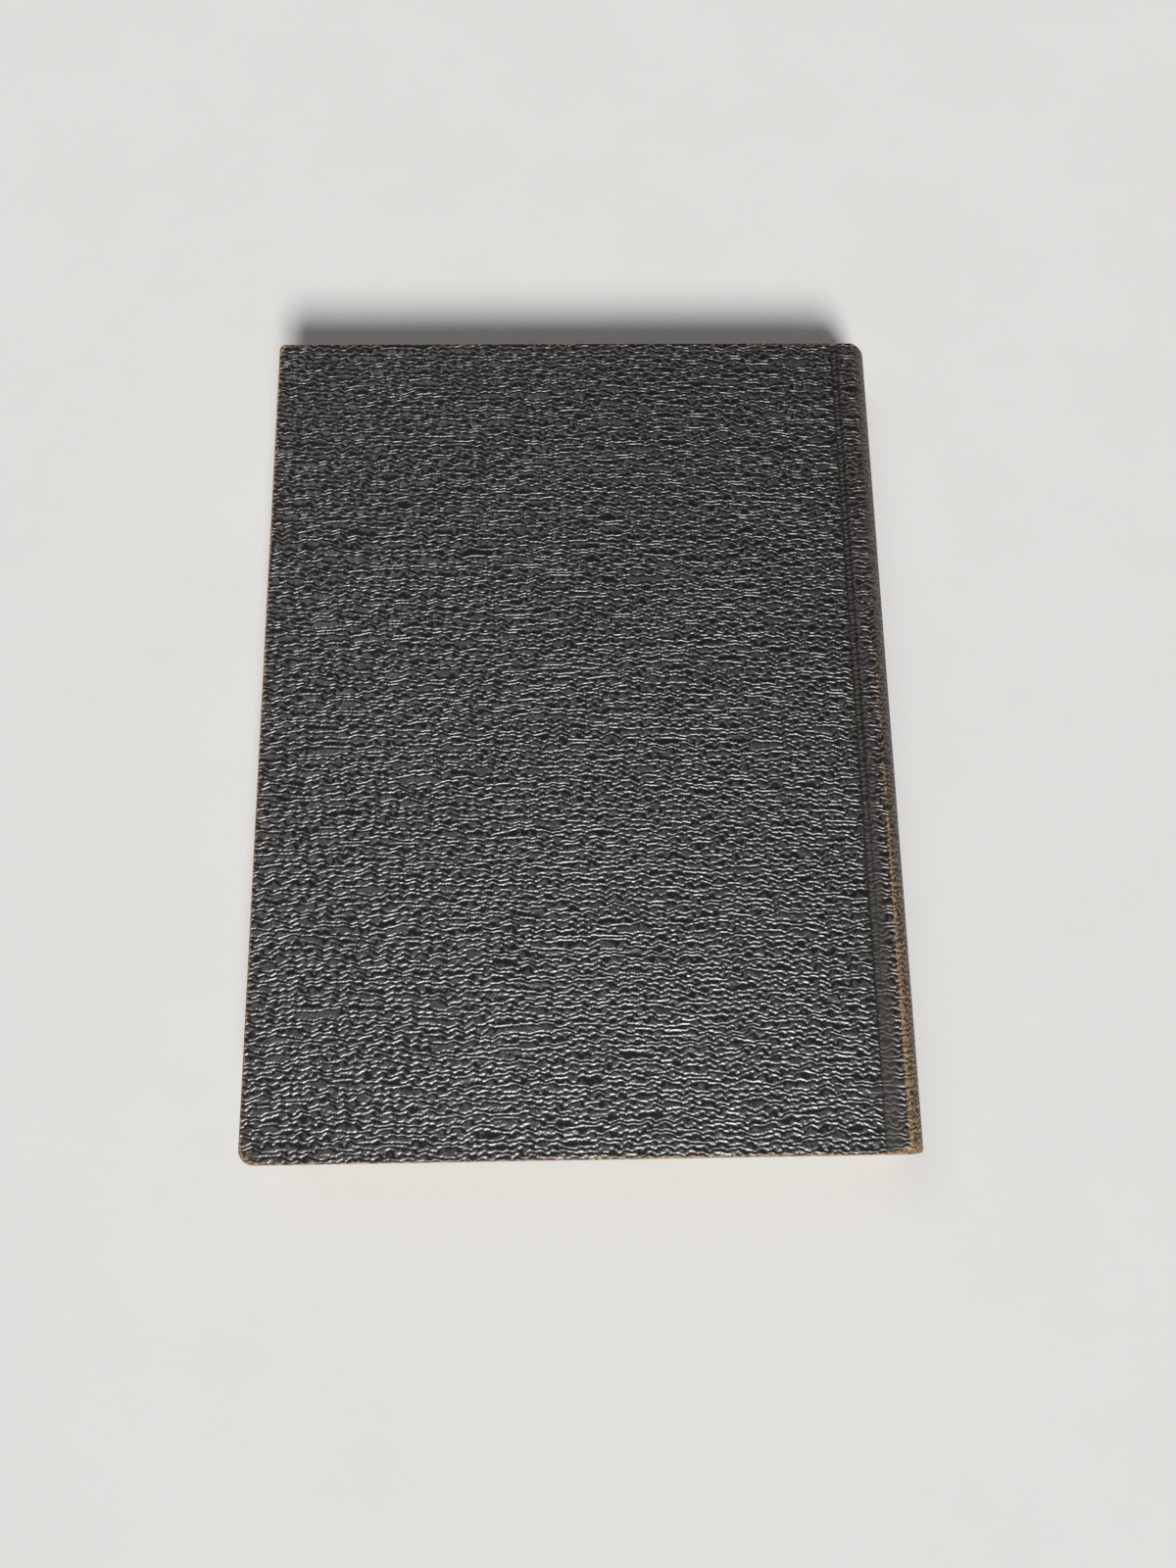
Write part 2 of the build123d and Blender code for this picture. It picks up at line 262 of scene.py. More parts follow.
def solid_mesh(name, points, faces, values):
    """A closed mesh with one number or place for each point under each name in values."""
    mesh = bpy.data.meshes.new(name)
    mesh.from_pydata((points * MILLIMETRE).tolist(), [], [list(map(int, face)) for face in faces])
    for key, value in values.items():
        value = np.asarray(value, np.float32)
        kind, field = ("FLOAT", "value") if value.ndim == 1 else ("FLOAT_VECTOR", "vector")
        mesh.attributes.new(key, kind, "POINT").data.foreach_set(field, value.ravel())
    shape = bmesh.new()
    shape.from_mesh(mesh)
    bmesh.ops.remove_doubles(shape, verts=shape.verts, dist=same_place)
    bmesh.ops.recalc_face_normals(shape, faces=shape.faces)
    for edge in shape.edges:
        edge.smooth = len(edge.link_faces) == 2 and edge.calc_face_angle() < math.radians(sharp_angle)
    for face in shape.faces:
        face.smooth = True
    shape.to_mesh(mesh)
    shape.free()
    thing = bpy.data.objects.new(name, mesh)
    bpy.context.scene.collection.objects.link(thing)
    return thing


class Field:
    """A value, vector or colour in a node tree, so that node maths is written as expressions."""

    def __init__(self, tree, socket):
        self.tree, self.socket = tree, socket

    def maths(self, operation, *others):
        return self.tree.maths(operation, self, *others)

    def __add__(self, other):
        return self.maths("ADD", other)

    def __radd__(self, other):
        return self.tree.maths("ADD", other, self)

    def __sub__(self, other):
        return self.maths("SUBTRACT", other)

    def __rsub__(self, other):
        return self.tree.maths("SUBTRACT", other, self)

    def __mul__(self, other):
        return self.maths("MULTIPLY", other)

    def __rmul__(self, other):
        return self.tree.maths("MULTIPLY", other, self)

    def __truediv__(self, other):
        return self.maths("DIVIDE", other)

    def __pow__(self, other):
        return self.maths("POWER", other)


def is_vector(value):
    return isinstance(value, Field) and value.socket.type in ("VECTOR", "RGBA")


class Tree:
    """A shader or geometry tree. Every node in it comes from add."""

    def __init__(self, tree):
        self.tree = tree

    def add(self, kind, settings=None, inputs=None, output=0):
        node = self.tree.nodes.new(kind)
        for name, value in (settings or {}).items():
            setattr(node, name, value)
        for name, value in (inputs or {}).items():
            found = [socket for socket in node.inputs if name in (socket.identifier, socket.name)]
            socket = node.inputs[name] if isinstance(name, int) else found[0]
            for one in value if isinstance(value, list) else [value]:
                if isinstance(one, Field):
                    self.tree.links.new(one.socket, socket)
                else:
                    socket.default_value = one
        if isinstance(output, str):
            outputs = [socket for socket in node.outputs if output in (socket.identifier, socket.name)]
            return Field(self, outputs[0])
        return Field(self, node.outputs[output]) if node.outputs else node

    def maths(self, operation, *values):
        vectors = [value for value in values if isinstance(value, tuple) or is_vector(value)]
        kind = "ShaderNodeVectorMath" if vectors else "ShaderNodeMath"
        return self.add(kind, {"operation": operation}, dict(enumerate(values)))

    def mix(self, factor, low, high):
        """From one colour to another."""
        sockets = {"Factor_Float": factor, "A_Color": low, "B_Color": high}
        return self.add("ShaderNodeMix", {"data_type": "RGBA"}, sockets, "Result_Color")

    def step(self, value, low, high, start=0.0, end=1.0):
        """A smooth rise from start to end while the value goes from low to high."""
        sockets = {"Value": value, "From Min": low, "From Max": high, "To Min": start, "To Max": end}
        return self.add("ShaderNodeMapRange", {"interpolation_type": "SMOOTHSTEP"}, sockets)

    def noise(self, place, scale, detail=2.0, roughness=0.5):
        sockets = {"Vector": place, "Scale": scale, "Detail": detail, "Roughness": roughness}
        return self.add("ShaderNodeTexNoise", {}, sockets)

    def attribute(self, name, output="Fac"):
        return self.add("ShaderNodeAttribute", {"attribute_name": name}, {}, output)

    def millimetres(self):
        """Place on the piece, in millimetres."""
        return self.add("ShaderNodeTexCoord", {}, {}, "Object") * ((1 / MILLIMETRE,) * 3)

    def axis(self, place, name):
        return self.add("ShaderNodeSeparateXYZ", {}, {"Vector": place}, name)

    def bump(self, height, distance):
        return self.add("ShaderNodeBump", {}, {"Strength": 1.0, "Distance": distance, "Height": height})


def surface(tree, colour, roughness, normal, index=1.5):
    sockets = {"Base Color": colour, "Roughness": roughness, "Normal": normal, "IOR": index}
    return tree.add("ShaderNodeBsdfPrincipled", {}, sockets)


def material(name, build):
    """A material made by a function that is given its tree and gives back its shader."""
    made = bpy.data.materials.new(name)
    made.use_nodes = True
    made.node_tree.nodes.clear()
    tree = Tree(made.node_tree)
    tree.add("ShaderNodeOutputMaterial", {}, {"Surface": build(tree)})
    return made


def leaf_edges(tree):
    place = tree.millimetres()
    streak = tree.noise(place * (0.05, 0.05, 5.0), 1.0, 3.0, 0.6)
    fibre = tree.noise(place, 2.5, 3.0, 0.6)
    tone = tree.attribute("shade") * 0.7 + streak * 0.5 + fibre * 0.15 - 0.2
    paper = tree.mix(tree.step(tone, 0.1, 0.9), leaf_dark, leaf_pale)
    # Painted shade: the gaps between the leaves and between the sections are coloured darker brown.
    colour = tree.mix(tree.attribute("gap") * 0.55, paper, leaf_gap_painted_shade)
    return surface(tree, colour, fibre * 0.15 + 0.8, tree.bump(streak + fibre * 0.3, leaf_relief))


points, faces, values = leaves_mesh()
leaves = solid_mesh("leaves", points, faces, values)
leaves.data.materials.append(material("trimmed_leaf_edges", leaf_edges))
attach(leaves, "text_block")
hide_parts("text_block")

# Sewing cords: five hemp cords sunk in sawn kerfs across the back of the sections, which
# the thread of every section passes round. Laid strands show as slanting ridges.
cord_lay = 1.6
cord_dark, cord_pale = (0.50, 0.43, 0.30, 1), (0.78, 0.72, 0.58, 1)
cord_relief = 0.0001


def laid_cord(tree):
    place = tree.millimetres()
    turn = (tree.axis(place, "Z") + tree.axis(place, "Y")) * (2 * math.pi / cord_lay)
    strand = turn.maths("SINE") * 0.5 + 0.5
    fibre = tree.noise(place, 6.0, 3.0, 0.6)
    colour = tree.mix(strand * 0.6 + fibre * 0.4, cord_dark, cord_pale)
    return surface(tree, colour, fibre * 0.1 + 0.85, tree.bump(strand + fibre * 0.3, cord_relief))


def finish_node(name, made):
    """A finish of its own for a solid that is kept as it is."""
    slots = frame["nodes"][name].data.materials
    slots.clear()
    slots.append(made)


finish_node("sewing_cords", material("laid_hemp_cord", laid_cord))

# Gauze: open starched cloth, glued over the back and the shoulders, whose free edges are
# glued down inside the boards. It is woven of single threads with square openings.
thread_spacing = 0.9
thread_drift = 1.2
glue_brown, thread_cream = (0.34, 0.26, 0.16, 1), (0.76, 0.71, 0.60, 1)
gauze_relief = 0.00012


def open_weave(tree):
    place = tree.millimetres()
    past_back = (tree.axis(place, "Z") - middle_z).maths("ARCTAN2", tree.axis(place, "X") - spine_x)
    across = tree.axis(place, "X") + past_back * back_radius
    drift = tree.noise(place, 0.25, 2.0, 0.5) * thread_drift
    pitch = 2 * math.pi / thread_spacing
    warp = ((tree.axis(place, "Y") + drift) * pitch).maths("COSINE") * 0.5 + 0.5
    weft = ((across + drift) * pitch).maths("COSINE") * 0.5 + 0.5
    threads = (warp**3).maths("MAXIMUM", weft**3)
    fibre = tree.noise(place, 5.0, 3.0, 0.6)
    colour = tree.mix(threads, glue_brown, thread_cream)
    return surface(tree, colour, fibre * 0.1 + 0.85, tree.bump(threads + fibre * 0.2, gauze_relief))


gauze = material("starched_gauze", open_weave)
finish_node("spine_gauze", gauze)

# Back lining: a strip of brown kraft paper, nearly as long as the leaves. It is glued over the
# gauze and the tapes of the headbands, and stiffens the rounded back.
kraft_dark, kraft_pale = (0.34, 0.22, 0.12, 1), (0.56, 0.40, 0.25, 1)
kraft_relief = 0.00005


def kraft_paper(tree):
    place = tree.millimetres()
    fibre = tree.noise(place * (1.0, 0.35, 1.0), 2.0, 4.0, 0.65)
    cloud = tree.noise(place, 0.12, 2.0, 0.5)
    tone = fibre * 0.8 + cloud * 0.4 - 0.1
    colour = tree.mix(tree.step(tone, 0.2, 0.8), kraft_dark, kraft_pale)
    return surface(tree, colour, fibre * 0.15 + 0.75, tree.bump(fibre, kraft_relief))


finish_node("spine_lining", material("brown_kraft_paper", kraft_paper))

# Headbands: a rolled cord wound with thread in two colours, on a tape that is glued down
# on the back. One sits at the head of the leaves and one at the tail, on the round back.
bead_radius = 0.9
bead_half_angle = 45.0
bead_thread = 0.17
bead_wraps = 54
stripe_wraps = 3
tape_reach = 10.0
tape_low, tape_high = 0.05, 0.25
tape_points, path_points = 25, 49
core_sides, ring_steps, thread_sides = 14, 18, 6
silk_cream, silk_brown, silk_dust = (0.70, 0.61, 0.42, 1), (0.34, 0.20, 0.10, 1), (0.45, 0.36, 0.24, 1)
silk_relief = 0.00004


def headband_tape(side):
    """Points and faces of the tape, a thin curved strip under the bead and down the back."""
    turn = np.radians(np.linspace(-bead_half_angle, bead_half_angle, tape_points))
    points = []
    low_y, high_y = leaf_y - tape_reach, leaf_y + bead_radius
    for depth, y in ((tape_low, low_y), (tape_high, low_y), (tape_high, high_y), (tape_low, high_y)):
        reach = back_radius + depth
        ring = [spine_x + reach * np.cos(turn), side * y + 0 * turn, middle_z + reach * np.sin(turn)]
        points.append(np.column_stack(ring))
    index = np.arange(4 * len(turn)).reshape(4, -1)
    faces = net_faces(np.vstack([index, index[0]]))
    return np.vstack(points), faces + [[*index[:, 0]], [*index[:, -1]]]


def headband_nodes(made):
    """A core along the round back, wound with rings of thread whose stripe changes in turn."""
    group = bpy.data.node_groups.new("wound_headband", "GeometryNodeTree")
    tree = Tree(group)
    for name, kind in (("Tape", "Geometry"), ("Round Radius", "Float"), ("Half Angle", "Float"),
                       ("Bead Radius", "Float"), ("Thread Radius", "Float"), ("Wraps", "Int"),
                       ("Stripe Wraps", "Int"), ("Place", "Vector")):
        group.interface.new_socket(name, in_out="INPUT", socket_type=f"NodeSocket{kind}")
    group.interface.new_socket("Headband", in_out="OUTPUT", socket_type="NodeSocketGeometry")

    def given(name):
        return tree.add("NodeGroupInput", {}, {}, name)

    half = given("Half Angle") * (math.pi / 180)
    path = tree.add("GeometryNodeCurveArc", {"mode": "RADIUS"}, {
        "Resolution": path_points,
        "Radius": given("Round Radius"),
        "Start Angle": half * -1,
        "Sweep Angle": half * 2,
    }, "Curve")
    sockets = {"Geometry": path, "Translation": given("Place"), "Rotation": (math.pi / 2, 0, 0)}
    path = tree.add("GeometryNodeTransform", {}, sockets)

    def circle(radius, steps):
        sockets = {"Resolution": steps, "Radius": radius}
        return tree.add("GeometryNodeCurvePrimitiveCircle", {"mode": "RADIUS"}, sockets, "Curve")

    core_radius = given("Bead Radius") - given("Thread Radius")
    sockets = {"Curve": path, "Profile Curve": circle(core_radius, core_sides), "Fill Caps": True}
    core = tree.add("GeometryNodeCurveToMesh", {}, sockets)
    thread = circle(given("Thread Radius"), thread_sides)
    sockets = {"Curve": circle(core_radius, ring_steps), "Profile Curve": thread}
    ring = tree.add("GeometryNodeCurveToMesh", {}, sockets)
    sockets = {"Curve": path, "Count": given("Wraps")}
    places = tree.add("GeometryNodeCurveToPoints", {"mode": "COUNT"}, sockets, "Points")
    turned = Field(tree, places.socket.node.outputs["Rotation"])
    sockets = {"Points": places, "Instance": ring, "Rotation": turned}
    rings = tree.add("GeometryNodeInstanceOnPoints", {}, sockets)
    wrap = tree.add("GeometryNodeInputIndex")
    stripe = (wrap / given("Stripe Wraps")).maths("FLOOR").maths("MODULO", 2.0)
    rings = tree.add("GeometryNodeStoreNamedAttribute", {"domain": "INSTANCE", "data_type": "FLOAT"},
                     {"Geometry": rings, "Name": "stripe", "Value": stripe})
    joined = tree.add("GeometryNodeJoinGeometry", {}, {"Geometry": [given("Tape"), core, rings]})
    whole = tree.add("GeometryNodeRealizeInstances", {}, {"Geometry": joined})
    whole = tree.add("GeometryNodeSetShadeSmooth", {}, {"Geometry": whole})
    finished = tree.add("GeometryNodeSetMaterial", {}, {"Geometry": whole, "Material": made})
    tree.add("NodeGroupOutput", {}, {"Headband": finished})
    return group


def made_by_nodes(thing, group, values):
    """The mesh that a node group makes from a thing, put in its place as a plain mesh."""
    modifier = thing.modifiers.new(group.name, "NODES")
    modifier.node_group = group
    inputs = [item for item in group.interface.items_tree if item.in_out == "INPUT"]
    identifiers = {item.name: item.identifier for item in inputs}
    for name, value in values.items():
        modifier[identifiers[name]] = value
    shaped = thing.evaluated_get(bpy.context.evaluated_depsgraph_get())
    mesh = bpy.data.meshes.new_from_object(shaped)
    thing.modifiers.remove(modifier)
    thing.data = mesh


def wound_thread(tree):
    place = tree.millimetres()
    fibre = tree.noise(place, 5.0, 3.0, 0.6)
    colour = tree.mix(tree.attribute("stripe"), silk_cream, silk_brown)
    colour = tree.mix(fibre * 0.35, colour, silk_dust)
    return surface(tree, colour, fibre * 0.2 + 0.5, tree.bump(fibre, silk_relief))


headband_finish = material("two_colour_silk", wound_thread)
headband_group = headband_nodes(headband_finish)
for name, side in (("head", 1), ("tail", -1)):
    points, faces = headband_tape(side)
    core_y = side * (leaf_y + bead_radius + tape_low)
    band = solid_mesh(f"{name}_band_wound", points, faces, {})
    made_by_nodes(band, headband_group, {
        "Round Radius": (back_radius + tape_high - bead_radius) * MILLIMETRE,
        "Half Angle": bead_half_angle,
        "Bead Radius": bead_radius * MILLIMETRE,
        "Thread Radius": bead_thread * MILLIMETRE,
        "Wraps": bead_wraps,
        "Stripe Wraps": stripe_wraps,
        "Place": [spine_x * MILLIMETRE, core_y * MILLIMETRE, middle_z * MILLIMETRE],
    })
    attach(band, "text_block")
    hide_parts(f"{name}_band")

# Boards: two sheets of grey binder's board, pressed from waste paper pulp, cut square and
# glued into the covering cloth. Flecks of other fibre show in the grey.
board_dark, board_pale = (0.30, 0.28, 0.25, 1), (0.46, 0.43, 0.38, 1)
fleck_tan = (0.58, 0.50, 0.38, 1)
board_relief = 0.00008


def grey_board(tree):
    place = tree.millimetres()
    layers = tree.noise(place * (0.25, 0.25, 4.0), 1.0, 3.0, 0.6)
    fleck = tree.step(tree.noise(place, 2.2, 2.0, 0.5), 0.60, 0.68)
    grey = tree.mix(tree.step(layers, 0.3, 0.7), board_dark, board_pale)
    colour = tree.mix(fleck * 0.7, grey, fleck_tan)
    return surface(tree, colour, layers * 0.1 + 0.85, tree.bump(layers + fleck * 0.4, board_relief))


board_finish = material("grey_pulp_board", grey_board)
finish_node("rear_board", board_finish)
finish_node("front_board", board_finish)

# Spine inlay: a strip of thin brown card, as long as the boards. It is glued to the inside of
# the cloth between the two joints and keeps the spine of the case round.
card_dark, card_pale = (0.34, 0.26, 0.16, 1), (0.50, 0.40, 0.27, 1)
speck_brown = (0.24, 0.17, 0.10, 1)
card_relief = 0.00006


def brown_card(tree):
    place = tree.millimetres()
    fibre = tree.noise(place * (1.0, 0.3, 1.0), 1.5, 4.0, 0.6)
    speck = tree.step(tree.noise(place, 3.5, 1.0, 0.5), 0.62, 0.70)
    card = tree.mix(tree.step(fibre, 0.3, 0.7), card_dark, card_pale)
    colour = tree.mix(speck * 0.6, card, speck_brown)
    return surface(tree, colour, fibre * 0.1 + 0.82, tree.bump(fibre + speck * 0.3, card_relief))


finish_node("spine_inlay", material("brown_inlay_card", brown_card))

# Covering cloth: one piece of black book cloth, embossed with a coarse pebble grain,
# glued over both boards and the spine and turned in 15 mm round the edges. It is made
# here in two halves that meet along the middle of the spine.
cloth_thickness = 0.4
inlay_thickness = 0.4
edge_round = 0.7
fold_share = 0.46
upper_fold, lower_fold = (22.5, 45, 67.5, 90), (0, 30, 60, 90)
turn_in = 15.0
head_corner_radius = 2.0
tail_corner_radius = 4.5
inlay_half_angle, inlay_step = 46.0, 2
ridge_radius = 3.0
board_to_groove = 1.5
groove_wall_round = 0.5
groove_fill = 0.85
column_spacing = 1.35
corner_points = 10
row_count = 400
under_row_step = 20
turn_in_parts = (0.25, 0.6, 1)
past_joint_reach, flat_margin = 2, 0.01
bend_reach = 0.6
row_spacing = 1.65
row_drift, drift_scale = 3.2, 0.036
row_wave, wave_scale = 1.8, (1 / 2.6, 1 / 2.4, 1.0)
row_quiver, quiver_scale = 0.3, 1.1
pebble_scale = (0.5, 0.8, 1.0)
fibre_scale, patch_scale = 6.0, 0.9
grain_relief = 0.0003
# The valley colours are darker copies of the ridge colours: painted shade in the hollows of the grain.
valley_shade_black, valley_shade_faded = (0.0032, 0.0028, 0.0024, 1), (0.012, 0.0075, 0.0045, 1)
raised_black, raised_faded = (0.017, 0.0155, 0.0135, 1), (0.052, 0.033, 0.020, 1)
pressed_grey = (0.065, 0.057, 0.045, 1)
rubbed_brown, rubbed_tan = (0.115, 0.066, 0.03, 1), (0.42, 0.26, 0.125, 1)
dull_roughness, gloss_roughness = 0.55, 0.42
dull_index, gloss_index = 1.4, 2.2

half_height = cover_high[1]
cover_x, turned_z = cover_low[0], cover_low[2]
folded_z = groove_z - 2 * cloth_thickness
ridge_rise = ridge_z - ridge_radius - middle_z
ridge_x = spine_x + math.sqrt((spine_radius - ridge_radius) ** 2 - ridge_rise**2)
wall_x = hinge_x - board_to_groove + cloth_thickness


def cloth_profile():
    """The cloth's outer face in cross-section, from a fore-edge to the middle of the spine."""
    corner_turn = np.radians(np.linspace(0, 90, corner_points))
    corner = cover_x + tail_corner_radius - (tail_corner_radius - edge_round) * np.cos(corner_turn)
    flat_end = wall_x - edge_round
    flat_steps = round((flat_end - corner[-1]) / column_spacing)
    wall_corner = (flat_end, cover_z - edge_round)
    wall_foot = (wall_x + groove_wall_round, groove_z + groove_wall_round)
    groove = (hinge_x, groove_z + groove_radius)
    ridge = (ridge_x, ridge_z - ridge_radius)
    ridge_end = math.degrees(math.atan2(ridge_rise, ridge_x - spine_x))
    slope_top = arc(crest, crest_radius, 180, 90 + groove_slope, 1)[-1]
    slope_foot = arc(groove, groove_radius, -90, -groove_slope, 1)[-1]
    return np.vstack([
        np.column_stack([corner, np.full(corner_points, cover_z)]),
        line((corner[-1], cover_z), (flat_end, cover_z), flat_steps),
        arc(wall_corner, edge_round, 90, 0, 4),
        line((wall_x, wall_corner[1]), (wall_x, wall_foot[1]), 1),
        arc(wall_foot, groove_wall_round, 180, 270, 4),
        line((wall_foot[0], groove_z), (hinge_x, groove_z), 3),
        arc(groove, groove_radius, -90, -groove_slope, 4),
        line(slope_foot, slope_top, 3),
        arc(crest, crest_radius, 90 + groove_slope, 90, 4),
        line((crest[0], ridge_z), (ridge_x, ridge_z), 4),
        arc(ridge, ridge_radius, 90, ridge_end, 6),
        arc((spine_x, middle_z), spine_radius, ridge_end, 0, 12),
    ])


def smooth_step(low, high, value):
    """From 0 to 1 while the value goes from low to high."""
    share = np.clip((value - low) / (high - low), 0, 1)
    return share * share * (3 - 2 * share)


def cloth_depths(profile):
    """From each point of the profile to the underside of the cloth that is folded under it."""
    tangent = np.gradient(profile, axis=0)
    tangent /= np.linalg.norm(tangent, axis=1)[:, None]
    inward = np.column_stack([tangent[:, 1], -tangent[:, 0]])
    spine_angle = np.degrees(np.arctan2(profile[:, 1] - middle_z, profile[:, 0] - spine_x))
    past_joint = profile[:, 0] > hinge_x + past_joint_reach
    over_inlay = past_joint * smooth_step(inlay_half_angle + inlay_step, inlay_half_angle, spine_angle)
    depth = inward * (2 * cloth_thickness + inlay_thickness * over_inlay)[:, None]
    board = profile[:, 0] < wall_x - edge_round + flat_margin
    depth[board] = (0, turned_z - cover_z)
    falling = ~board & (profile[:, 0] < hinge_x)
    step = smooth_step(wall_x - cloth_thickness, wall_x + groove_wall_round, profile[:, 0])
    under_z = turned_z + (folded_z - turned_z) * step
    depth[falling] = np.column_stack([0 * step, under_z - profile[:, 1]])[falling]
    return depth


def plan_border(x):
    """Y of the tail and head borders of the flat top, and the steps to each from its corner's centre."""
    borders = []
    for side, radius in ((-1, tail_corner_radius), (1, head_corner_radius)):
        reach = np.clip(cover_x + radius - x, 0, radius - edge_round)
        fall = np.sqrt((radius - edge_round) ** 2 - reach**2)
        centre_y = half_height - radius
        borders.append((side * (centre_y + fall), reach, fall))
    return borders


def rim_steps(depth):
    """Outward and downward steps round a folded edge, up to the start of the turn-in."""
    radius = np.minimum(edge_round, fold_share * depth)
    steps = []
    for turn in np.radians(upper_fold):
        steps.append((edge_round - radius * (1 - np.sin(turn)), radius * (1 - np.cos(turn))))
    steps.append((edge_round + 0 * depth, depth / 2))
    for turn in np.radians(lower_fold):
        steps.append((edge_round - radius * (1 - np.cos(turn)), depth - radius * (1 - np.sin(turn))))
    return steps


def cloth_half():
    """Points, faces and surface places of the rear half of the cloth, as a closed sheet."""
    profile = cloth_profile()
    depth = cloth_depths(profile)
    columns = len(profile)
    length = np.concatenate([[0], np.cumsum(np.linalg.norm(np.diff(profile, axis=0), axis=1))])
    along = length - length[-1]
    (tail_y, tail_reach, tail_fall), (head_y, head_reach, head_fall) = plan_border(profile[:, 0])
    share = np.linspace(0, 1, row_count + 1)
    y = tail_y[:, None] * (1 - share) + head_y[:, None] * share
    x = np.repeat(profile[:, :1], row_count + 1, axis=1)
    joint = (profile[:, 0] > wall_x - edge_round) & (profile[:, 0] < crest[0])
    level = np.interp(profile[:, 0], (wall_x - edge_round, crest[0]), (cover_z, ridge_z))
    fill = groove_fill * joint * (level - profile[:, 1])
    z = profile[:, 1:] + fill[:, None] * smooth_step(0, -half_height, y)
    points = [np.stack([x, y, z], axis=2).reshape(-1, 3)]
    along = np.repeat(along[:, None], row_count + 1, axis=1)
    places = [np.stack([along, y], axis=2).reshape(-1, 2)]
    index = np.arange(columns * (row_count + 1)).reshape(columns, row_count + 1)
    faces = net_faces(index.T)

    # The border runs from the spine along the tail, up the fore-edge and back along the head
    across = np.arange(columns)
    column = np.concatenate([across[::-1], np.zeros(row_count - 1, int), across])
    row = np.concatenate([np.zeros(columns, int), np.arange(1, row_count), np.full(columns, row_count)])
    outward = np.zeros((len(column), 2))
    tail, head = slice(0, columns), slice(columns + row_count - 1, None)
    outward[:, 0] = -1
    outward[tail] = np.column_stack([-tail_reach, -tail_fall])[::-1] / (tail_corner_radius - edge_round)
    outward[head] = np.column_stack([-head_reach, head_fall]) / (head_corner_radius - edge_round)
    base = points[0][index[column, row]]
    base_place = places[0][index[column, row]]
    drop = depth[column]
    deep = np.linalg.norm(drop, axis=1)
    down = drop / deep[:, None]

    def ring(out, low):
        moved = base.copy()
        moved[:, :2] += outward * np.reshape(out, (-1, 1))
        moved[:, 0] += down[:, 0] * low
        moved[:, 2] += down[:, 1] * low
        return moved

    rings, ring_places, travel = [], [], 0
    before = base
    for out, low in rim_steps(deep):
        rings.append(ring(out, low))
        travel = travel + np.linalg.norm(rings[-1] - before, axis=1)
        before = rings[-1]
        ring_places.append(base_place + outward * travel[:, None])
    fold_end, fold_travel = rings[-1], travel
    cut = fold_end.copy()
    cut[:, 1] = np.clip(cut[:, 1], turn_in - half_height, half_height - turn_in)
    cut[:, 0] = np.maximum(cut[:, 0], cover_x + turn_in)
    for part in turn_in_parts:
        rings.append(fold_end * (1 - part) + cut * part)
        travel = fold_travel + np.linalg.norm(rings[-1] - fold_end, axis=1)
        ring_places.append(base_place + outward * travel[:, None])
    lifted = cut.copy()
    lifted[:, 0] -= down[:, 0] * cloth_thickness
    lifted[:, 2] -= down[:, 1] * cloth_thickness
    inner_reach = edge_round - cloth_thickness
    for inner in (lifted, ring(inner_reach, deep - cloth_thickness), ring(inner_reach, cloth_thickness)):
        rings.append(inner)
        ring_places.append(ring_places[-1])
    numbers = len(points[0]) + np.arange(len(rings) * len(base))
    points += rings
    places += ring_places
    loops = np.vstack([index[column, row], numbers.reshape(len(rings), -1)])
    faces += net_faces(loops)
    last = loops[-1]
    tail_side, head_side = last[tail][::-1], last[head]

    # The underside of the top layer, in fewer rows, which follows the groove as it fills
    above = index[1:, under_row_step:row_count:under_row_step]
    lower = (depth / np.linalg.norm(depth, axis=1)[:, None])[1:, None] * cloth_thickness
    under = points[0][above]
    under[:, :, 0] += lower[:, :, 0]
    under[:, :, 2] += lower[:, :, 1]
    points.append(under.reshape(-1, 3))
    places.append(places[0][above].reshape(-1, 2))
    inner = last[-1] + 1 + np.arange(above.size).reshape(above.shape)
    inner = np.column_stack([tail_side[1:], inner, head_side[1:]])
    faces += net_faces(inner)
    faces.append([*last[columns - 2:columns + row_count + 1], *inner[0, -2:0:-1]])
    faces.append([*index[-1], *loops[1:, -1], *inner[-1, -2:0:-1], *loops[:0:-1, 0]])
    return np.vstack(points), faces, np.vstack(places)


def grain(tree, place):
    """Height of the embossed grain, from 0 in the valleys to 1 on the ridges of its wavy rows."""
    drift = tree.noise(place, drift_scale) - 0.5
    wave = tree.noise(place * wave_scale, 1.0, 0.0) - 0.5
    quiver = tree.noise(place, quiver_scale, 0.0) - 0.5
    height = tree.noise(place * pebble_scale, 1.0, 0.0)
    rows = tree.axis(place, "Y") / row_spacing
    phase = rows + drift * row_drift + wave * row_wave + quiver * row_quiver
    ridge = (phase * (2 * math.pi)).maths("COSINE") * 0.5 + 0.5
    return ridge * (0.5 + height * 0.7)


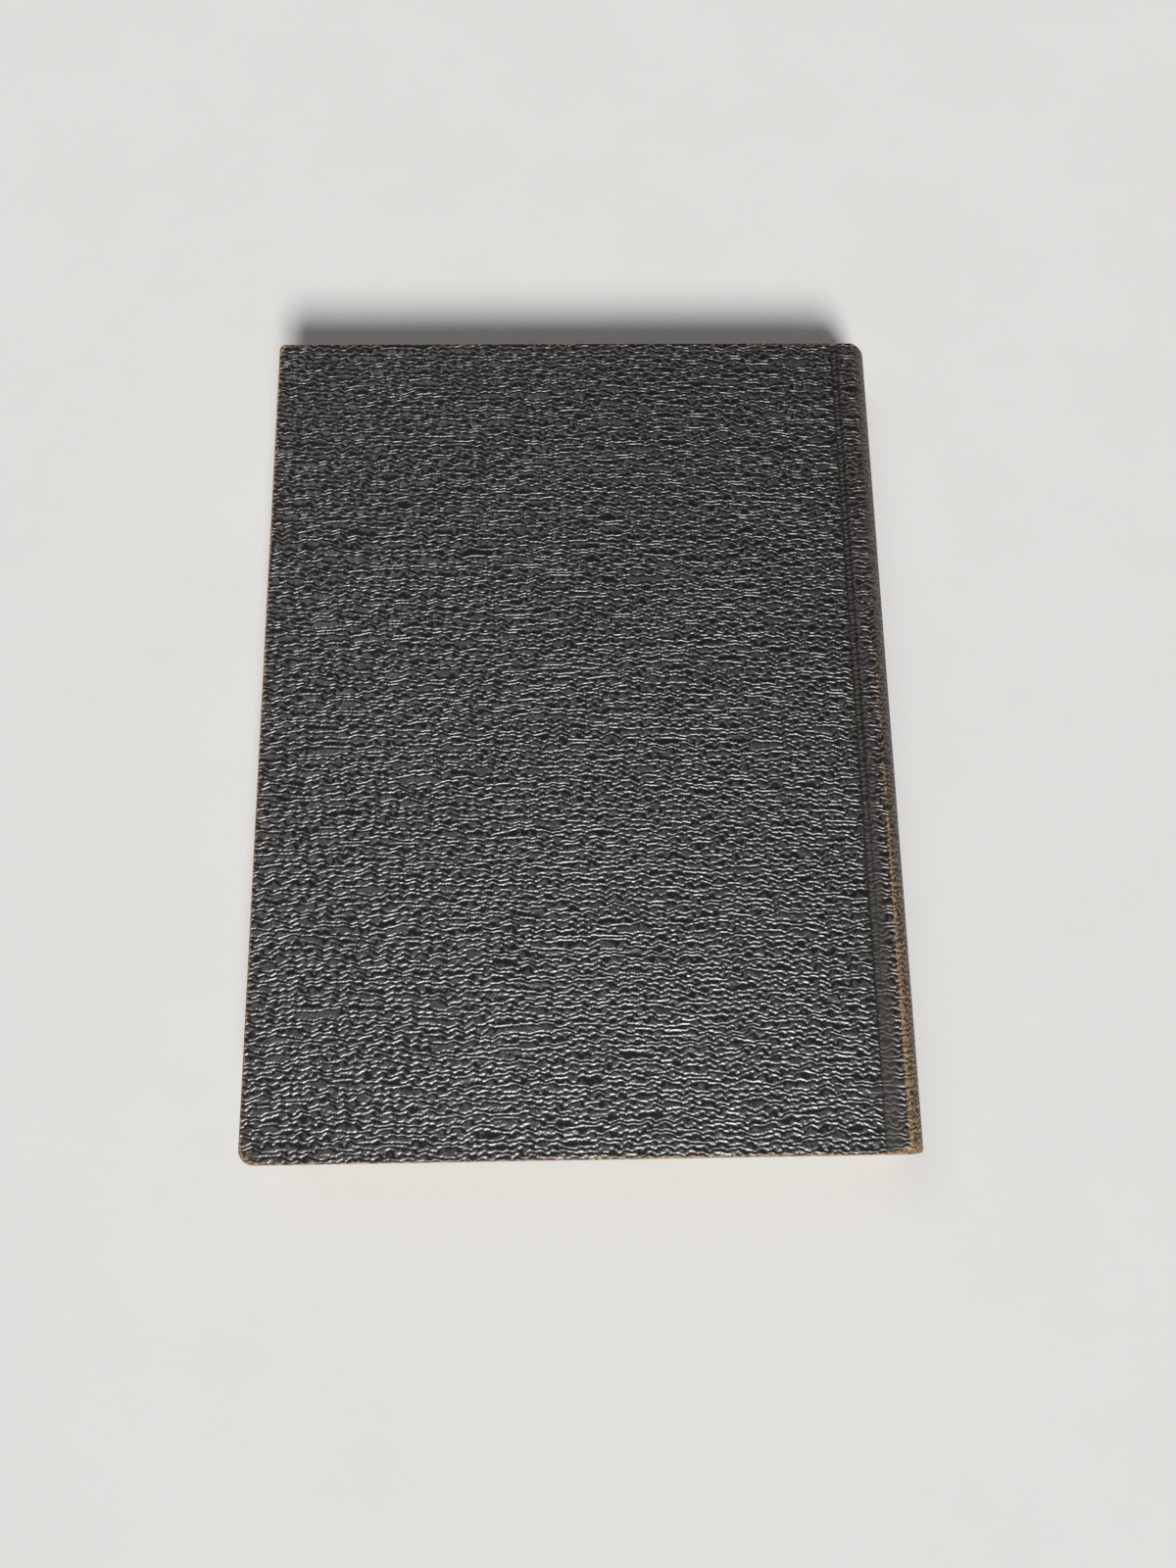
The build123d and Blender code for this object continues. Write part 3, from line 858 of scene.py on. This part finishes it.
def pebbled_cloth(tree):
    place = tree.attribute("place", "Vector")
    rub, press, fade = tree.attribute("rub"), tree.attribute("press"), tree.attribute("fade")
    height = grain(tree, place)
    fibre = tree.noise(place, fibre_scale, 3.0, 0.6)
    patch = tree.noise(place, patch_scale, 3.0, 0.65)
    worn = rub + (height - 0.6) * 0.3 + (patch - 0.5) * 1.3 + (fibre - 0.5) * 0.5
    worn = tree.step(worn, 0.45, 0.8)
    deep = tree.mix(fade, valley_shade_black, valley_shade_faded)
    raised = tree.mix(fade, raised_black, raised_faded)
    # Painted shade: the valleys of the grain take the darker colours and the ridges the lighter ones.
    black = tree.mix(tree.step(height, 0.1, 0.9), deep, raised)
    black = tree.mix(press**2.0 * 0.4, black, pressed_grey)
    brown = tree.mix(tree.step(fibre + patch, 0.8, 1.2), rubbed_brown, rubbed_tan)
    colour = tree.mix(worn, black, brown)
    normal = tree.bump(height * (1 - press * 0.68) + fibre * (press * 0.25 + 0.03), grain_relief)
    valley = surface(tree, colour, dull_roughness, normal, dull_index)
    ridge = surface(tree, colour, worn * 0.2 + gloss_roughness, normal, gloss_index)
    coated = tree.step(height, 0.1, 0.45) * (1 - worn * 0.6)
    coated = coated * (1 - press * 0.35) * (1 - fade * 0.5)
    return tree.add("ShaderNodeMixShader", {}, {0: coated, 1: valley, 2: ridge})


# Wear as the photo shows it. Reaches are in millimetres, angles in degrees round the ridge
fore_edge_rub, fore_edge_rub_reach = 0.95, 1.05
tail_edge_rub, tail_edge_rise, head_edge_rub, end_rub_reach = 0.70, 0.25, 0.66, 1.0
tail_corner_rub, tail_corner_rub_reach = 0.62, 4.2
head_corner_rub, head_corner_rub_reach = 1.1, 2.6
upper_rim, low_rim_rub = (cover_z - 2.2, cover_z - 0.5), 0.45
ridge_rub, ridge_rub_to_tail, ridge_rub_angle, ridge_rub_width = 0.22, 0.25, 74, 18
side_rub, side_rub_to_tail, side_rub_angles = 0.24, 0.36, (92, 74)
tail_spine_rub, tail_spine_rub_reach, tail_spine_start = 0.8, 2.4, (hinge_x - 1, hinge_x + 3)
most_rub = 1.2
worn_corner_inset = 1.0
press_start, press_border, press_to_ridge = (wall_x - 1.8, wall_x + 0.8), 1.2, 1.5
head_press, tail_corner_press_reach = 0.3, 3.6
spine_fade_angles, joint_fade, joint_fade_start = (135, 50), 0.3, (wall_x - 1, hinge_x)
tail_corner_fade, tail_corner_fade_reach = 0.9, 4.5
edge_fade, edge_fade_reach = 0.45, 2.5


def ridge_turn(x, top):
    """Angle round the rounded ridge of the spine: 90 where the top is flat, 0 where it is upright."""
    return np.degrees(np.arctan2(top - ridge_rise, x - ridge_x))


def to_tail_corner(x, y):
    """Distance to the worn corner where the tail meets the fore-edge."""
    return np.hypot(x - cover_x - worn_corner_inset, y + half_height - worn_corner_inset)


def near(distance, reach):
    """1 at no distance, about a third at the reach and next to nothing at twice the reach."""
    return np.exp(-(distance / reach) ** 2)


def rubbed(x, y, top):
    """How rubbed the cloth is: along the edges, at the worn corners and on the spine's ridge."""
    to_fore_edge, to_end = x - cover_x, half_height - np.abs(y)
    towards_tail = smooth_step(half_height, -half_height, y)
    tail_rub = tail_edge_rub + tail_edge_rise * smooth_step(cover_x, hinge_x, x)
    end_rub = np.where(y < 0, tail_rub, head_edge_rub)
    rub = fore_edge_rub * near(np.clip(to_fore_edge, 0, None), fore_edge_rub_reach)
    rub = np.maximum(rub, end_rub * near(np.clip(to_end, 0, None), end_rub_reach))
    rub += tail_corner_rub * near(to_tail_corner(x, y), tail_corner_rub_reach)
    rub += head_corner_rub * near(np.hypot(to_fore_edge, y - half_height), head_corner_rub_reach)
    rub *= low_rim_rub + (1 - low_rim_rub) * smooth_step(*upper_rim, top + middle_z)
    turn, past_crest = ridge_turn(x, top), x > crest[0]
    on_ridge = near(turn - ridge_rub_angle, ridge_rub_width) * past_crest
    rub += on_ridge * (ridge_rub + ridge_rub_to_tail * towards_tail**2)
    on_side = smooth_step(*side_rub_angles, turn) * past_crest
    rub += on_side * (side_rub + side_rub_to_tail * towards_tail**2)
    at_spine = smooth_step(*tail_spine_start, x)
    rub += tail_spine_rub * near(y + half_height, tail_spine_rub_reach) * at_spine
    return np.clip(rub, 0, most_rub)


def wear(points):
    """How rubbed, how pressed flat and how faded to brown the cloth is at each point."""
    x, y, z = points.T
    top = np.abs(z - middle_z)
    towards_tail = smooth_step(half_height, -half_height, y)
    press_end = crest[0] + (ridge_x - press_to_ridge - crest[0]) * towards_tail
    press = smooth_step(*press_start, x)
    press = press * smooth_step(press_end + press_border, press_end - press_border, x)
    press *= head_press + (1 - head_press) * towards_tail
    press = np.maximum(press, near(to_tail_corner(x, y), tail_corner_press_reach))
    fade = smooth_step(*spine_fade_angles, ridge_turn(x, top)) * (x > crest[0])
    fade = np.maximum(fade, joint_fade * smooth_step(*joint_fade_start, x))
    fade = np.maximum(fade, tail_corner_fade * near(to_tail_corner(x, y), tail_corner_fade_reach))
    to_edge = np.clip(np.minimum(x - cover_x, half_height - np.abs(y)), 0, None)
    fade = np.maximum(fade, edge_fade * np.exp(-to_edge / edge_fade_reach))
    return {"rub": rubbed(x, y, top), "press": press, "fade": fade}


def bend_over_joint(thing, side, cover_end, block_end):
    """Apply a sheet's transform to its mesh. The two bodies and the ends of a bend, whose order
    differs from side to side, are worked out but not used."""
    bodies = ["front_cover", "text_block"]
    ends = [(cover_end * MILLIMETRE, 0, 0), (block_end * MILLIMETRE, 0, 0)]
    if side == "rear":
        bodies, ends = ["text_block", "rear_cover"], ends[::-1]
    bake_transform(thing)


cloth_finish = material("black_pebbled_book_cloth", pebbled_cloth)
points, faces, places = cloth_half()
worn_values = wear(points)
for side, turn in (("rear", 1), ("front", -1)):
    half = points.copy()
    half[:, 2] = middle_z + turn * (points[:, 2] - middle_z)
    values = dict(worn_values)
    values["place"] = np.column_stack([places[:, 0] * turn, places[:, 1], 0 * places[:, 0]])
    if side == "front":
        values["rub"] = values["rub"] * smooth_step(hinge_x, ridge_x + ridge_radius, points[:, 0])
        values["press"] = values["press"] * smooth_step(wall_x - 2, wall_x, points[:, 0])
    cloth = solid_mesh(f"{side}_cloth", half, faces, values)
    cloth.data.materials.append(cloth_finish)
    bend_over_joint(cloth, side, hinge_x - bend_reach, hinge_x + bend_reach)
    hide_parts(f"{side}_cover_cloth", "spine_cloth")

# Gauze flanges: the free edges of the gauze, which stand out at both sides of the back. They are
# glued down inside the boards, under the endpapers, and hold the leaves in their case.
finish_node("rear_gauze_flange", gauze)
finish_node("front_gauze_flange", gauze)

# Endpapers: at each end of the leaves, one folded sheet of plain cream paper. One half is
# pasted down inside the board, over the turn-ins and the gauze, and is made here with its
# soft steps and its fold. The other half is the free leaf.
paper_thickness = 0.2
paste_step = 0.9
fold_start = 1.5
fold_end = 0.08
fold_gap = 0.02
browned_reach = 14.0
cream_dark, cream_pale = (0.78, 0.71, 0.57, 1), (0.83, 0.78, 0.66, 1)
browned_edge = (0.68, 0.57, 0.41, 1)
paper_relief = 0.00004

paste_low, paste_high = box_in_millimetres("rear_pastedown")
free_high = box_in_millimetres("rear_free_endpaper")[1]
flange_low, flange_high = box_in_millimetres("rear_gauze_flange")


def spread(*marks):
    """Places in rising order, with the given number of steps from each mark to the next."""
    places = [marks[0]]
    for steps, mark in zip(marks[1::2], marks[2::2]):
        places.extend(np.linspace(places[-1], mark, steps + 1)[1:])
    return np.array(places)


def pasted_sheet():
    """Points and faces of the rear pasted half, a closed sheet whose lower face shows."""
    window_x, window_y = cover_x + turn_in, half_height - turn_in
    over_x, over_y = flange_low[0] - paper_thickness, flange_high[1] + paper_thickness
    x = spread(paste_low[0], 6, window_x, 6, window_x + paste_step, 30, over_x - paste_step,
               6, over_x, 8, hinge_x - fold_start, 16, hinge_x - fold_end)
    upper_y = spread(0, 24, over_y, 6, over_y + paste_step, 3, window_y - paste_step,
                     6, window_y, 6, paste_high[1])
    y = np.concatenate([-upper_y[:0:-1], upper_y])
    x, y = np.meshgrid(x, y, indexing="ij")
    inside = smooth_step(window_x, window_x + paste_step, x)
    inside = inside * smooth_step(window_y, window_y - paste_step, abs(y))
    over = smooth_step(over_x - paste_step, over_x, x) * smooth_step(over_y + paste_step, over_y, abs(y))
    folding = smooth_step(hinge_x - fold_start, hinge_x - fold_end, x)
    z = paste_low[2] + inside * cloth_thickness
    z = z + over * (flange_low[2] - paper_thickness - z)
    z = z + folding * (free_high[2] + fold_gap - z)
    rows, columns = x.shape
    low, high = np.arange(2 * rows * columns).reshape(2, rows, columns)
    points = [np.stack([x, y, z + lift], axis=2).reshape(-1, 3) for lift in (0, paper_thickness)]
    faces = net_faces(low.T) + net_faces(high.T)
    for border in (np.s_[0], np.s_[-1], np.s_[:, 0], np.s_[:, -1]):
        faces += net_faces(np.stack([low[border], high[border]]))
    return np.vstack(points), faces


def cream_paper(tree, place):
    cloud = tree.noise(place, 0.02, 3.0, 0.55)
    fibre = tree.noise(place * (1.0, 0.6, 1.0), 3.0, 4.0, 0.65)
    reach_y = leaf_y - tree.axis(place, "Y").maths("ABSOLUTE")
    reach_x = tree.axis(place, "X") - paste_low[0]
    edge = tree.step(reach_y.maths("MINIMUM", reach_x) + cloud * 6, 0.0, browned_reach, 0.5, 0.0)
    paper = tree.mix(cloud, cream_dark, cream_pale)
    colour = tree.mix(edge + fibre * 0.15, paper, browned_edge)
    return surface(tree, colour, fibre * 0.15 + 0.75, tree.bump(fibre, paper_relief))


def pasted_half(tree):
    return cream_paper(tree, tree.attribute("place", "Vector"))


def free_half(tree):
    return cream_paper(tree, tree.millimetres())


pasted_finish = material("pasted_endpaper", pasted_half)
free_finish = material("free_endpaper", free_half)
points, faces = pasted_sheet()
for side, turn in (("rear", 1), ("front", -1)):
    half = points.copy()
    half[:, 2] = middle_z + turn * (points[:, 2] - middle_z)
    pasted = solid_mesh(f"{side}_pasted_paper", half, faces, {"place": points})
    pasted.data.materials.append(pasted_finish)
    bend_over_joint(pasted, side, hinge_x - fold_start, hinge_x - fold_end)
    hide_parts(f"{side}_pastedown")
    finish_node(f"{side}_free_endpaper", free_finish)

# Table top that the book lies on, lit by a large soft light from beyond the tail, which rakes
# across the rows of the grain, and by a weak one from the head side. The far wall is pale.
table_size = 12
table_drop = 0.0002
table_dark, table_pale = (0.70, 0.69, 0.67, 1), (0.74, 0.73, 0.71, 1)
table_relief = 0.0001
bpy.ops.mesh.primitive_plane_add(size=table_size, location=(0, 0, -table_drop))
table_top = bpy.context.object
table_top.name = "table_top"


def pale_top(tree):
    place = tree.millimetres()
    mottle = tree.noise(place, 0.02, 4.0, 0.6)
    colour = tree.mix(mottle, table_dark, table_pale)
    return surface(tree, colour, mottle * 0.1 + 0.75, tree.bump(mottle, table_relief))


table_top.data.materials.append(material("pale_table", pale_top))


def soft_light(name, towards, spread_angle, strength):
    """A distant light, soft over the given angle, that shines from a direction."""
    light = bpy.data.lights.new(name, "SUN")
    light.angle = math.radians(spread_angle)
    light.energy = strength
    thing = bpy.data.objects.new(name, light)
    thing.location = towards
    thing.rotation_mode = "QUATERNION"
    thing.rotation_quaternion = (-thing.location).to_track_quat("-Z", "Y")
    bpy.context.scene.collection.objects.link(thing)


soft_light("tail_light", towards=(0.3, -2.8, 2.2), spread_angle=20, strength=4.3)
soft_light("head_light", towards=(-1.2, 1.6, 2.2), spread_angle=30, strength=0.4)
ambient_grey, ambient_strength = (0.9, 0.9, 0.9, 1), 0.1
wall_grey = (0.70, 0.70, 0.69, 1)
world = bpy.data.worlds.new("studio")
bpy.context.scene.world = world
world.use_nodes = True
world.node_tree.nodes.clear()
studio = Tree(world.node_tree)
seen = studio.add("ShaderNodeLightPath", {}, {}, "Is Camera Ray")
ambient = studio.add("ShaderNodeBackground", {}, {"Color": ambient_grey, "Strength": ambient_strength})
far_wall = studio.add("ShaderNodeBackground", {}, {"Color": wall_grey, "Strength": 1.0})
shown = studio.add("ShaderNodeMixShader", {}, {0: seen, 1: ambient, 2: far_wall})
studio.add("ShaderNodeOutputWorld", {}, {"Surface": shown})

# Camera: above the tail half of the book and a little to the fore-edge side, looking nearly
# straight down at the cover and a little towards its head.
picture_height = 1600
focal_length = 1130
sensor_size = 36
camera_place = (-0.0047, -0.0947, 0.3514)
camera_turn = np.array((0.220756, -0.017918, -0.012573))
view = bpy.data.cameras.new("camera")
view.lens = focal_length / picture_height * sensor_size
view.sensor_width = sensor_size
view.clip_start, view.clip_end = 0.01, 20
camera = bpy.data.objects.new("camera", view)
camera.location = camera_place
camera.rotation_mode = "AXIS_ANGLE"
angle = float(np.linalg.norm(camera_turn))
camera.rotation_axis_angle = (angle, *(camera_turn / angle))
bpy.context.scene.collection.objects.link(camera)
bpy.context.scene.camera = camera
bpy.context.scene.view_settings.view_transform = "Standard"
